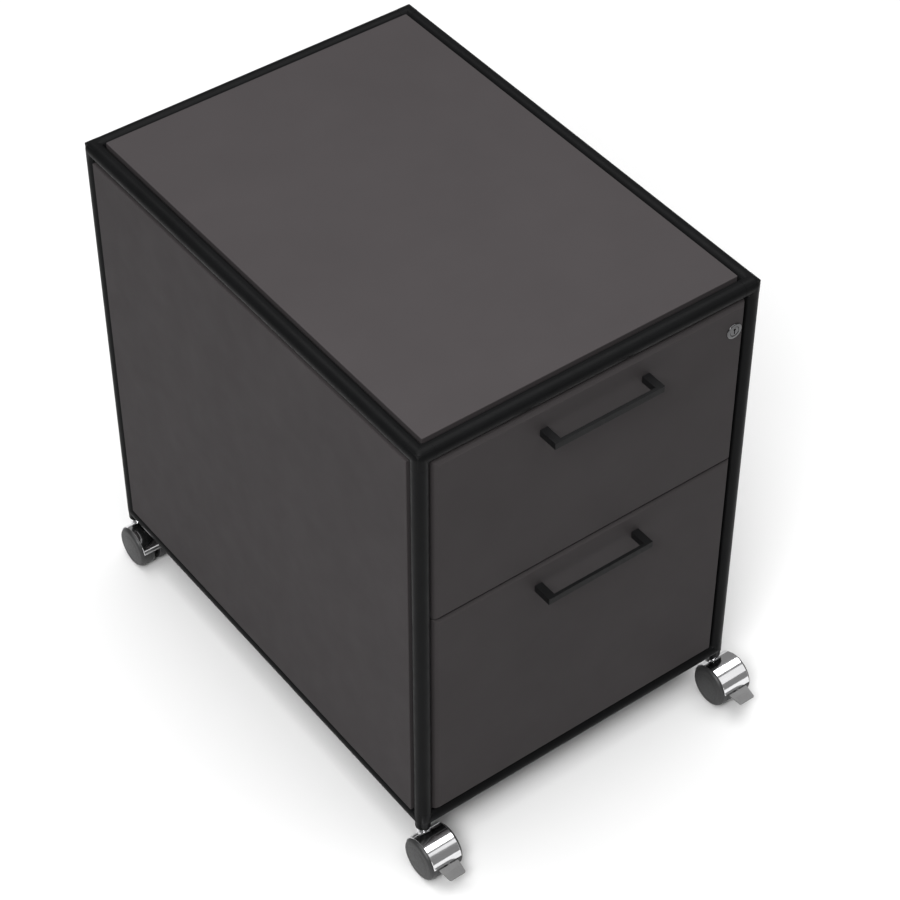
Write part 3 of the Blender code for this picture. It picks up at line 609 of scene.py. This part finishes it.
def lock_pieces():
    """The lock's ring and barrel in one piece, and its plug with key slot, cam and nut in another."""
    low, high, _ = box_of("lock_housing")
    face = low.y
    front = box_of("upper_front")[0].y
    proud = front - face
    centre = Vector((LOCK_CENTRE.x, front, LOCK_CENTRE.z))
    bore = LOCK_BORE_RADIUS
    ring = (high.x - low.x) / 2
    barrel = LOCK_BARREL_RADIUS
    seat = -0.1 * MM
    tail = front - high.y
    profile = [
        (bore, proud - 0.5 * MM), (bore + 0.4 * MM, proud), (ring - 1.3 * MM, proud),
        (ring - 0.5 * MM, proud - 0.25 * MM),
        (ring - 0.1 * MM, proud - 0.7 * MM), (ring, proud - 1.1 * MM), (ring, -seat), (barrel, -seat),
        (barrel, tail + 0.4 * MM), (barrel - 0.4 * MM, tail), (bore, tail),
    ]
    make_piece(lay(turned(profile, 96, closed=True), "-Y", centre), "lock_ring", "upper_drawer", "lock",
               ["lock_housing"])
    plug_low, plug_high, _ = box_of("lock_plug")
    plug_face = front - plug_low.y
    plug = turned([(0, plug_face), (4.9 * MM, plug_face), (5.25 * MM, plug_face - 0.12 * MM),
                   (5.4 * MM, plug_face - 0.5 * MM), (5.4 * MM, tail - 1.8 * MM), (3.0 * MM, tail - 1.8 * MM),
                   (3.0 * MM, front - plug_high.y), (0, front - plug_high.y)], 64)
    plug = lay(plug, "-Y", centre)
    slot = block((centre.x - 0.7 * MM, plug_low.y - 1 * MM, centre.z - 3.6 * MM),
                 (centre.x + 0.7 * MM, plug_low.y + 7 * MM, centre.z + 3.6 * MM))
    warding = lay(rod(1.5 * MM, 9 * MM, 24), "Y", (centre.x, plug_low.y + 1 * MM, centre.z + 2.2 * MM))
    cam_low = plug_low.z
    cam = plate([(-3 * MM, 3.5 * MM), (-3.5 * MM, 0), (-3 * MM, cam_low - centre.z + 1.6 * MM),
                 (-1.6 * MM, cam_low - centre.z), (1.6 * MM, cam_low - centre.z),
                 (3 * MM, cam_low - centre.z + 1.6 * MM), (3.5 * MM, 0), (3 * MM, 3.5 * MM)],
                CAM_THICKNESS, 0.25 * MM)
    bmesh.ops.rotate(cam, cent=(0, 0, 0), matrix=Matrix.Rotation(math.pi / 2, 3, "X"), verts=cam.verts)
    bmesh.ops.translate(cam, vec=(centre.x, front - tail + 2.7 * MM, centre.z), verts=cam.verts)
    nut = lay(rod(3.9 * MM, 0.9 * MM, 6, 0.15 * MM), "Y", (centre.x, plug_high.y - 0.4 * MM, centre.z))
    bm = combined(plug, [(slot, "DIFFERENCE"), (warding, "DIFFERENCE"), (cam, "UNION"), (nut, "UNION")])
    make_piece(bm, "lock_core", "lock_plug", "lock", ["lock_plug"])


# Trays and slides


TRAY_BEND = 2.2 * MM
TRAY_RIM_DROP = 5 * MM
CATCH_DROP = 30 * MM
CATCH_HEIGHT = 14 * MM
# Open fault: with this lip the lips of each cabinet and drawer member share volume.
SLIDE_LIP = 2.4 * MM
SLIDE_SCREWS = (0.08, 0.36, 0.64, 0.92)


def tray_piece(drawer, sizes):
    """A folded sheet steel tray with rounded bends, a folded rim, and the catch of the central locking."""
    node = f"{drawer}_tray"
    low, high, _ = box_of(node)
    wall_right = box_of(f"{drawer}_drawer_slide_right")[0].x - 0.3 * MM
    low = Vector((-wall_right, low.y, low.z))
    high = Vector((wall_right, high.y, high.z))
    bm = block(low, high)
    top = [f for f in bm.faces if f.normal.z > 0.9]
    bmesh.ops.delete(bm, geom=top, context="FACES_ONLY")
    bends = [e for e in bm.edges if len(e.link_faces) == 2]
    round_edges(bm, bends, TRAY_BEND, 4)
    rim = [e for e in bm.edges if e.is_boundary]
    out = bmesh.ops.extrude_edge_only(bm, edges=rim)["geom"]
    lip = verts_in(out)
    middle = (low + high) / 2
    reach = [(high.x - low.x) / 2, (high.y - low.y) / 2]
    factors = [(r - sizes.tray_hem) / r for r in reach]
    for vert in lip:
        vert.co.x = middle.x + (vert.co.x - middle.x) * factors[0]
        vert.co.y = middle.y + (vert.co.y - middle.y) * factors[1]
    out = bmesh.ops.extrude_edge_only(bm, edges=[e for e in bm.edges if e.is_boundary])["geom"]
    bmesh.ops.translate(bm, vec=(0, 0, -TRAY_RIM_DROP), verts=verts_in(out))
    bmesh.ops.recalc_face_normals(bm, faces=bm.faces)
    floor_face = min(bm.faces, key=lambda f: f.calc_center_median().z)
    if floor_face.normal.z > 0:
        bmesh.ops.reverse_faces(bm, faces=bm.faces)
    bmesh.ops.solidify(bm, geom=bm.faces, thickness=sizes.sheet)
    catch_z = high.z - CATCH_DROP
    catch = block((wall_right - 1.0 * MM, low.y + 8 * MM, catch_z),
                  (wall_right + 7.5 * MM, low.y + 10 * MM, catch_z + CATCH_HEIGHT), 0.3 * MM, 2)
    foot = block((wall_right - 0.6 * MM, low.y + 9 * MM, catch_z),
                 (wall_right + 1.2 * MM, low.y + 22 * MM, catch_z + CATCH_HEIGHT), 0.3 * MM, 2)
    bm = joined(bm, [catch, foot])
    make_piece(bm, node + "_sheet", f"{drawer}_drawer", "tray", [node])


def channel_profile(width, height, sheet, lip):
    """Half-open channel outline in X and Z, opening towards +X, with lips turned in."""
    return [
        (0, 0), (width, 0), (width, lip), (width - sheet, lip), (width - sheet, sheet), (sheet, sheet),
        (sheet, height - sheet), (width - sheet, height - sheet), (width - sheet, height - lip),
        (width, height - lip), (width, height), (0, height),
    ]


def slide_piece(node, body, web_side, sizes, lip):
    """A slide member: a rolled channel with its web on one side, small lips, and screw heads on its web."""
    low, high, _ = box_of(node)
    width, height, length = high.x - low.x, high.z - low.z, high.y - low.y
    bm = bmesh.new()
    outline = channel_profile(width, height, sizes.sheet, lip)
    face = bm.faces.new([bm.verts.new((x, 0, z)) for x, z in outline])
    pushed = bmesh.ops.extrude_face_region(bm, geom=[face])["geom"]
    bmesh.ops.translate(bm, vec=(0, length, 0), verts=verts_in(pushed))
    bmesh.ops.recalc_face_normals(bm, faces=bm.faces)
    bends = [e for e in bm.edges if abs(e.verts[0].co.y - e.verts[1].co.y) > length / 2]
    round_edges(bm, bends, 0.45 * MM, 3)
    if web_side > 0:
        bmesh.ops.scale(bm, vec=(-1, 1, 1), verts=bm.verts)
        bmesh.ops.translate(bm, vec=(width, 0, 0), verts=bm.verts)
        bmesh.ops.reverse_faces(bm, faces=bm.faces)
    bmesh.ops.translate(bm, vec=low, verts=bm.verts)
    screws = []
    inner_face = low.x + sizes.sheet if web_side < 0 else high.x - sizes.sheet
    for part in SLIDE_SCREWS:
        head = turned([(0, 0.9 * MM), (1.2 * MM, 0.95 * MM), (2.6 * MM, 0.55 * MM), (3.1 * MM, 0),
                       (3.1 * MM, -0.3 * MM), (0, -0.3 * MM)], 24)
        centre = (inner_face, low.y + part * length, (low.z + high.z) / 2)
        screws.append(lay(head, "X" if web_side < 0 else "-X", centre))
    bm = joined(bm, screws)
    make_piece(bm, node + "_rail", body, "zinc", [node])


# Castors


# Angles are in degrees above straight ahead.
HOOD_FIRST, HOOD_LAST = 13, 185
WEB_FIRST, WEB_LAST = 62, 180
WHEEL_CROWN = 1.1 * MM
WHEEL_BORE_RADIUS = 3.3 * MM
HUB_RADIUS = 5.5 * MM
AXLE_PIN_RADIUS = 3.0 * MM
AXLE_PIN_LENGTH = 36 * MM
HOOD_BOSS_RADIUS = 7.5 * MM
PEDAL_PIVOT = Vector((0, -13.5, 2.0)) * MM
PEDAL_DROOP = math.radians(4)
PEDAL_ROOT, PEDAL_TIP = -26.5 * MM, -44.0 * MM
GRIP_GROOVES = 4


def wheel_piece(castor, side, sizes):
    """A castor wheel: a domed disc, a round shoulder, two grooves in the tread and a hollow inner side."""
    node = f"{castor}_wheel_{side}"
    low, high, middle = box_of(node)
    radius = (high.z - low.z) / 2
    sign = 1 if side == "right" else -1
    axle_x = box_of(f"{castor}_stem")[2].x
    inner = (low.x - axle_x) if sign > 0 else (axle_x - high.x)
    outer = (high.x - axle_x) if sign > 0 else (axle_x - low.x)
    round_by = sizes.wheel_shoulder
    crown = WHEEL_CROWN
    bore = WHEEL_BORE_RADIUS
    profile = [(0, outer), (0.22 * radius, outer - 0.02 * MM), (0.5 * radius, outer - 0.25 * MM),
               (0.66 * radius, outer - 0.55 * MM), (0.68 * radius, outer - 0.85 * MM),
               (0.70 * radius, outer - 0.85 * MM), (0.72 * radius, outer - 0.62 * MM)]
    for step in range(9):
        angle = math.radians(72 - step * 9)
        profile.append((radius - round_by + round_by * math.cos(angle),
                        outer - crown - round_by + round_by * math.sin(angle) + 0.2 * MM))
    tread_end = inner + 0.9 * MM
    for part in (0.38, 0.66):
        x = tread_end + (outer - crown - round_by - tread_end) * (1 - part)
        profile += [(radius, x + 0.45 * MM), (radius - 0.35 * MM, x + 0.25 * MM),
                    (radius - 0.35 * MM, x - 0.25 * MM), (radius, x - 0.45 * MM)]
    profile += [(radius, tread_end), (radius - 0.9 * MM, inner), (radius - 4.5 * MM, inner),
                (radius - 5.2 * MM, inner + 3.5 * MM), (9.0 * MM, inner + 3.5 * MM), (7.6 * MM, inner),
                (bore, inner), (bore, 18.6 * MM), (0, 18.6 * MM)]
    centre = (axle_x, middle.y, middle.z)
    bm = lay(turned(profile, 80), "X" if sign > 0 else "-X", centre)
    bmesh.ops.recalc_face_normals(bm, faces=bm.faces)
    make_piece(bm, node + "_disc", node, "wheel", [node])


def swept(outline, first, last, steps, centre):
    """A closed outline of (x, radius) points, swept about X between two angles above straight ahead."""
    bm = bmesh.new()
    face = bm.faces.new([bm.verts.new((x, -radius, 0)) for x, radius in outline])
    bmesh.ops.rotate(bm, cent=(0, 0, 0), matrix=Matrix.Rotation(-math.radians(first), 3, "X"), verts=bm.verts)
    bmesh.ops.spin(bm, geom=[face, *face.edges, *face.verts], cent=(0, 0, 0), axis=(1, 0, 0),
                   angle=-math.radians(last - first), steps=steps)
    bmesh.ops.recalc_face_normals(bm, faces=bm.faces)
    bmesh.ops.translate(bm, vec=centre, verts=bm.verts)
    return bm


def hood_piece(castor, sizes):
    """A castor's chrome body: the hood over the wheels, its web and hub between them, and the swivel boss."""
    node = f"{castor}_hood"
    low, high, _ = box_of(node)
    stem = box_of(f"{castor}_stem")[2]
    wheel = box_of(f"{castor}_wheel_left")
    axle = Vector((stem.x, wheel[2].y, wheel[2].z))
    half = (high.x - low.x) / 2
    outer = (axle.y - low.y) / math.cos(math.radians(HOOD_FIRST))
    inner = outer - sizes.hood_sheet
    soft = 0.35 * MM
    outline = [(-half, inner + soft), (-half + soft, inner), (half - soft, inner), (half, inner + soft),
               (half, outer - soft), (half - soft, outer), (-half + soft, outer), (-half, outer - soft)]
    shell = swept(outline, HOOD_FIRST, HOOD_LAST, 96, axle)
    web = swept([(-3 * MM, 2 * MM), (-0.3 * MM, 2 * MM), (-0.3 * MM, inner + 0.3 * MM),
                 (-3 * MM, inner + 0.3 * MM)], WEB_FIRST, WEB_LAST, 40, axle)
    hub = lay(rod(HUB_RADIUS, 6.2 * MM, 40, 0.3 * MM), "X", axle)
    pin = lay(rod(AXLE_PIN_RADIUS, AXLE_PIN_LENGTH, 32, 0.4 * MM), "X", axle)
    # Open fault: this is 0.6 mm too high, so the boss shares volume with washer and corner.
    boss_top = high.z
    boss_low = axle.z + 12 * MM
    boss = turned([(0, boss_top), (6.6 * MM, boss_top), (7.3 * MM, boss_top - 0.6 * MM),
                   (HOOD_BOSS_RADIUS, boss_top - 1.4 * MM), (HOOD_BOSS_RADIUS, boss_low), (0, boss_low)], 48)
    boss = lay(boss, "Z", (stem.x, stem.y, 0))
    drum = lay(rod(inner + 0.4 * MM, 60 * MM, 96), "X", axle)
    boss = combined(boss, [(drum, "DIFFERENCE")])
    bore = lay(rod(STEM_BORE_RADIUS, 12 * MM, 32), "Z", (stem.x, stem.y, axle.z + 25.5 * MM))
    parts = [(boss, "UNION"), (bore, "DIFFERENCE"), (web, "UNION"), (hub, "UNION"), (pin, "UNION")]
    if "front" in castor:
        ear = block(axle + Vector((-3.0, -17.5, -2.0)) * MM, axle + Vector((-0.3, 0, 6.0)) * MM, 0.3 * MM, 2)
        pivot = axle + PEDAL_PIVOT
        pivot_pin = lay(rod(1.5 * MM, 4.1 * MM, 24), "X", pivot + Vector((1.05 * MM, 0, 0)))
        parts += [(ear, "UNION"), (pivot_pin, "UNION")]
    make_piece(combined(shell, parts), node + "_shell", f"{castor}_swivel", "chrome", [node],
               sharp=math.radians(40))


def pedal_piece(castor, sizes):
    """A brake pedal: a tapering tread plate with grip grooves, on a narrow arm with an eye."""
    node = f"{castor}_pedal"
    stem = box_of(f"{castor}_stem")[2]
    wheel = box_of(f"{castor}_wheel_left")
    axle = Vector((stem.x, wheel[2].y, wheel[2].z))
    low, high, _ = box_of(node)
    root_half = (high.x - low.x) / 2
    tip_half = sizes.pedal_tip / 2
    root, tip = PEDAL_ROOT, PEDAL_TIP
    outline = [(-root_half, root), (-root_half, root - 2.5 * MM), (-tip_half, tip + 1.2 * MM),
               (-tip_half + 1.2 * MM, tip), (tip_half - 1.2 * MM, tip), (tip_half, tip + 1.2 * MM),
               (root_half, root - 2.5 * MM), (root_half, root)]
    tread = plate(outline, 2.0 * MM, 0.35 * MM, 2)
    bmesh.ops.translate(tread, vec=(0, 0, 3.0 * MM), verts=tread.verts)
    arm = block(Vector((0.4, -28.5, -0.5)) * MM, Vector((3.0, -16.2, 4.5)) * MM, 0.2 * MM, 2)
    eye = lay(rod(4.0 * MM, 2.4 * MM, 40, 0.2 * MM), "X", PEDAL_PIVOT + Vector((1.7 * MM, 0, 0)))
    bore = lay(rod(1.8 * MM, 12 * MM, 32), "X", PEDAL_PIVOT)
    tools = [(arm, "UNION"), (eye, "UNION"), (bore, "DIFFERENCE")]
    for part in range(GRIP_GROOVES):
        y = tip + (2.6 + part * 2.2) * MM
        reach = tip_half - 3.0 * MM
        groove = block((-reach, y - 0.35 * MM, 4.75 * MM), (reach, y + 0.35 * MM, 6 * MM))
        tools.append((groove, "DIFFERENCE"))
    bm = combined(tread, tools)
    bmesh.ops.rotate(bm, cent=PEDAL_PIVOT, matrix=Matrix.Rotation(PEDAL_DROOP, 3, "X"), verts=bm.verts)
    bmesh.ops.translate(bm, vec=axle, verts=bm.verts)
    make_piece(bm, node + "_lever", node, "pedal", [node])


def stem_piece(castor):
    """A castor's stem: a plain pin, with a thin washer where it leaves the corner."""
    node = f"{castor}_stem"
    low, high, middle = box_of(node)
    boss = box_of("corner_bottom_front_left")[0].z
    washer_low = boss - 0.45 * MM
    profile = [(0, high.z), (3.4 * MM, high.z), (4.0 * MM, high.z - 0.6 * MM), (4.0 * MM, boss - 0.05 * MM),
               (6.2 * MM, boss - 0.05 * MM), (6.2 * MM, washer_low), (4.0 * MM, washer_low),
               (4.0 * MM, low.z), (0, low.z)]
    bm = lay(turned(profile, 40), "Z", (middle.x, middle.y, 0))
    make_piece(bm, node + "_pin", "cabinet", "zinc", [node])


# The studio


CAMERA_PLACE = (-1.25145, -1.70659, 2.34962)
CAMERA_RIGHT = (0.79995456, -0.60005658, 0.00219191)
CAMERA_UP = (0.41745388, 0.55913763, 0.71630815)
CAMERA_BACK = (-0.431051, -0.57209895, 0.69778064)
SENSOR_WIDTH = 36.0
LENS = 106.709
SHIFT_X, SHIFT_Y = -0.00555, 0.00126
FARTHEST_SEEN = 60.0
FLOOR_HALF_WIDTH = 15.0
WORLD_STRENGTH = 0.25
# Name, place, target, width, height and power in watts.
SOFTBOXES = (
    ("overhead", (0.1, 0.1, 4.2), (0, 0, 0.3), 5.0, 5.0, 290),
    ("key", (-2.34, -1.83, 3.27), (0, 0, 0.3), 1.4, 1.4, 140),
    ("front_right", (1.9, -2.6, 2.6), (0, 0, 0.2), 1.6, 2.0, 8),
)


def make_camera():
    """The camera, solved from the photograph's straight edges."""
    data = bpy.data.cameras.new("camera")
    data.sensor_width = SENSOR_WIDTH
    data.lens = LENS
    data.shift_x = SHIFT_X
    data.shift_y = SHIFT_Y
    data.clip_end = FARTHEST_SEEN
    camera = bpy.data.objects.new("camera", data)
    bpy.context.scene.collection.objects.link(camera)
    turn = Matrix((CAMERA_RIGHT, CAMERA_UP, CAMERA_BACK)).transposed()
    camera.matrix_world = Matrix.Translation(CAMERA_PLACE) @ turn.to_4x4()
    bpy.context.scene.camera = camera


def softbox(name, place, target, width, height, power):
    """A rectangular area light, aimed at a point."""
    data = bpy.data.lights.new(name, "AREA")
    data.shape = "RECTANGLE"
    data.size, data.size_y = width, height
    data.energy = power
    light = bpy.data.objects.new(name, data)
    bpy.context.scene.collection.objects.link(light)
    aim = (Vector(target) - Vector(place)).to_track_quat("-Z", "Y")
    light.matrix_world = Matrix.Translation(place) @ aim.to_matrix().to_4x4()


def make_floor():
    """The studio floor, under the whole view."""
    bm = bmesh.new()
    bmesh.ops.create_grid(bm, x_segments=8, y_segments=8, size=FLOOR_HALF_WIDTH)
    mesh = bpy.data.meshes.new("studio_floor")
    bm.to_mesh(mesh)
    bm.free()
    mesh.materials.append(material_of("floor"))
    floor = bpy.data.objects.new("studio_floor", mesh)
    bpy.context.scene.collection.objects.link(floor)


def make_lights():
    """The even sky and the softboxes, and the view transform that keeps white white."""
    world = bpy.data.worlds.new("studio")
    world.use_nodes = True
    sky = world.node_tree.nodes["Background"]
    sky.inputs["Color"].default_value = (1, 1, 1, 1)
    sky.inputs["Strength"].default_value = WORLD_STRENGTH
    bpy.context.scene.world = world
    for light in SOFTBOXES:
        softbox(*light)
    bpy.context.scene.view_settings.view_transform = "Standard"


# Operators


class CABINET_OT_tubes(bpy.types.Operator):
    """Make the twelve frame tubes"""

    bl_idname = "cabinet.tubes"
    bl_label = "Frame tubes"

    def execute(self, context):
        sizes = context.scene.cabinet_sizes
        for side in SIDES:
            for end in ENDS:
                tube_piece(f"upright_{end}_{side}", sizes)
        for level in LEVELS:
            for where in (*ENDS, *SIDES):
                tube_piece(f"rail_{level}_{where}", sizes)
        return {"FINISHED"}


class CABINET_OT_corners(bpy.types.Operator):
    """Make the eight cast corners"""

    bl_idname = "cabinet.corners"
    bl_label = "Frame corners"

    def execute(self, context):
        for level in LEVELS:
            for end in ENDS:
                for side in SIDES:
                    corner_piece(level, end, side, context.scene.cabinet_sizes)
        return {"FINISHED"}


class CABINET_OT_panels(bpy.types.Operator):
    """Make the five panels that close the frame"""

    bl_idname = "cabinet.panels"
    bl_label = "Panels"

    def execute(self, context):
        sizes = context.scene.cabinet_sizes
        for node, outward in PANELS.items():
            board_piece(node, "cabinet", "board", outward, sizes.panel_edge, sizes.panel_corner,
                        node + "_board")
        return {"FINISHED"}


class CABINET_OT_fronts(bpy.types.Operator):
    """Make the drawer fronts and their bow handles"""

    bl_idname = "cabinet.fronts"
    bl_label = "Drawer fronts and handles"

    def execute(self, context):
        for drawer in DRAWERS:
            front_piece(drawer, context.scene.cabinet_sizes)
            handle_piece(drawer, context.scene.cabinet_sizes)
        return {"FINISHED"}


class CABINET_OT_lock(bpy.types.Operator):
    """Make the cylinder lock, and finish the locking bar"""

    bl_idname = "cabinet.lock"
    bl_label = "Lock"

    def execute(self, context):
        lock_pieces()
        bar = frame["nodes"]["lock_bar"]
        bar.data.materials.clear()
        bar.data.materials.append(material_of("zinc"))
        return {"FINISHED"}


class CABINET_OT_trays(bpy.types.Operator):
    """Make the drawer trays and their slides"""

    bl_idname = "cabinet.trays"
    bl_label = "Drawer trays and slides"

    def execute(self, context):
        sizes = context.scene.cabinet_sizes
        for drawer in DRAWERS:
            tray_piece(drawer, sizes)
            for side, sign in (("left", -1), ("right", 1)):
                slide_piece(f"{drawer}_cabinet_slide_{side}", "cabinet", sign, sizes, SLIDE_LIP)
                slide_piece(f"{drawer}_drawer_slide_{side}", f"{drawer}_drawer", -sign, sizes, SLIDE_LIP)
        return {"FINISHED"}


class CABINET_OT_castors(bpy.types.Operator):
    """Make the four twin-wheel castors"""

    bl_idname = "cabinet.castors"
    bl_label = "Castors"

    def execute(self, context):
        sizes = context.scene.cabinet_sizes
        for end in ENDS:
            for side in SIDES:
                castor = f"castor_{end}_{side}"
                stem_piece(castor)
                hood_piece(castor, sizes)
                for wheel_side in SIDES:
                    wheel_piece(castor, wheel_side, sizes)
                if end == "front":
                    pedal_piece(castor, sizes)
        return {"FINISHED"}


class CABINET_OT_studio(bpy.types.Operator):
    """Make the studio: the floor, the soft lights and the camera"""

    bl_idname = "cabinet.studio"
    bl_label = "Studio"

    def execute(self, context):
        make_floor()
        make_lights()
        make_camera()
        return {"FINISHED"}


OPERATORS = (
    CABINET_OT_studio, CABINET_OT_tubes, CABINET_OT_corners, CABINET_OT_panels, CABINET_OT_fronts,
    CABINET_OT_lock, CABINET_OT_trays, CABINET_OT_castors,
)


class CABINET_PT_pieces(bpy.types.Panel):
    """The pieces of the cabinet, in the order they are made"""

    bl_idname = "CABINET_PT_pieces"
    bl_label = "Rolling pedestal cabinet"
    bl_space_type = "VIEW_3D"
    bl_region_type = "UI"
    bl_category = "Cabinet"

    def draw(self, context):
        for operator in OPERATORS:
            self.layout.operator(operator.bl_idname)
        for group in (context.scene.cabinet_sizes, context.scene.cabinet_finishes):
            box = self.layout.box()
            for name in group.bl_rna.properties.keys():
                if name not in ("rna_type", "name"):
                    box.prop(group, name)


CLASSES = (CabinetSizes, CabinetFinishes, *OPERATORS, CABINET_PT_pieces)


def register():
    for each in CLASSES:
        bpy.utils.register_class(each)
    bpy.types.Scene.cabinet_sizes = bpy.props.PointerProperty(type=CabinetSizes)
    bpy.types.Scene.cabinet_finishes = bpy.props.PointerProperty(type=CabinetFinishes)


def unregister():
    del bpy.types.Scene.cabinet_finishes
    del bpy.types.Scene.cabinet_sizes
    for each in reversed(CLASSES):
        bpy.utils.unregister_class(each)


def main():
    register()
    for startup in [o for o in bpy.data.objects if o.name in ("Cube", "Light", "Camera")]:
        bpy.data.objects.remove(startup)
    bpy.ops.cabinet.studio()
    bpy.ops.cabinet.tubes()
    bpy.ops.cabinet.corners()
    bpy.ops.cabinet.panels()
    bpy.ops.cabinet.fronts()
    bpy.ops.cabinet.lock()
    bpy.ops.cabinet.trays()
    bpy.ops.cabinet.castors()


if __name__ == "__main__":
    main()
